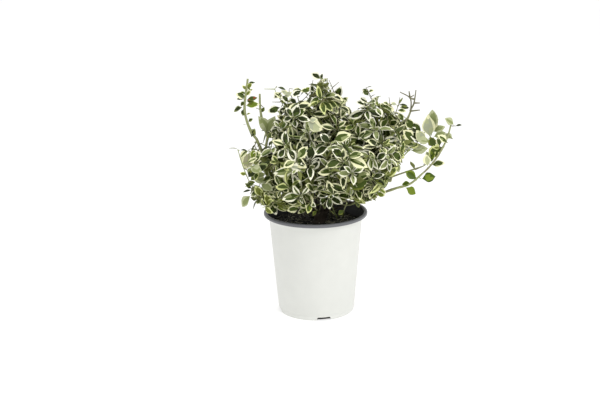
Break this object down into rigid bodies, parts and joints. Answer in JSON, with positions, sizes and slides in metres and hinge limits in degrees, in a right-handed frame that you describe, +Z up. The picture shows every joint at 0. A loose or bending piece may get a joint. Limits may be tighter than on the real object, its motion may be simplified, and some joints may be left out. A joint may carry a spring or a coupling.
{
  "type": "potted variegated wintercreeper",
  "caption": "Bushy evergreen shrub with small cream-edged green leaves on wiry stems, standing in a round white plastic nursery pot.",
  "frame": {"origin": "centre of the pot's flat underside, where it stands on the ground", "axes": "+Z up the plant, -Y towards the viewer of the picture, +X to that viewer's right, towards the long arching shoot"},
  "size_m": [0.3602, 0.2313, 0.377],
  "materials": {
    "pot_plastic": "satin",
    "potting_mix": "matt, crumbly",
    "bark": "matt",
    "foliage": "satin leaves"
  },
  "bodies": {
    "root": {"back_left": "foliage", "back_left_bough": "bark", "back_low": "foliage", "back_low_bough": "bark", "back_middle": "foliage", "back_middle_bough": "bark", "back_right": "foliage", "back_right_bough": "bark", "back_shoot_left": "foliage", "back_shoot_left_bough": "bark", "back_shoot_right": "foliage", "back_shoot_right_bough": "bark", "front_left": "foliage", "front_left_bough": "bark", "front_low": "foliage", "front_low_bough": "bark", "front_middle": "foliage", "front_middle_bough": "bark", "front_right": "foliage", "front_right_bough": "bark", "left": "foliage", "left_bough": "bark", "left_low": "foliage", "left_low_bough": "bark", "left_shoot": "foliage", "left_shoot_bough": "bark", "left_stub": "foliage", "left_stub_bough": "bark", "left_tall": "foliage", "left_tall_bough": "bark", "main_stem": "bark", "pot": "pot_plastic", "potting_mix": "potting_mix", "right": "foliage", "right_arch": "foliage", "right_arch_bough": "bark", "right_bare": "foliage", "right_bare_bough": "bark", "right_bough": "bark", "right_fan": "foliage", "right_fan_bough": "bark", "right_low": "foliage", "right_low_bough": "bark", "right_spray": "foliage", "right_spray_bough": "bark", "right_tip": "foliage", "right_tip_bough": "bark", "top_left": "foliage", "top_left_bough": "bark", "top_middle": "foliage", "top_middle_bough": "bark", "top_right": "foliage", "top_right_bough": "bark"}
  },
  "joints": []
}
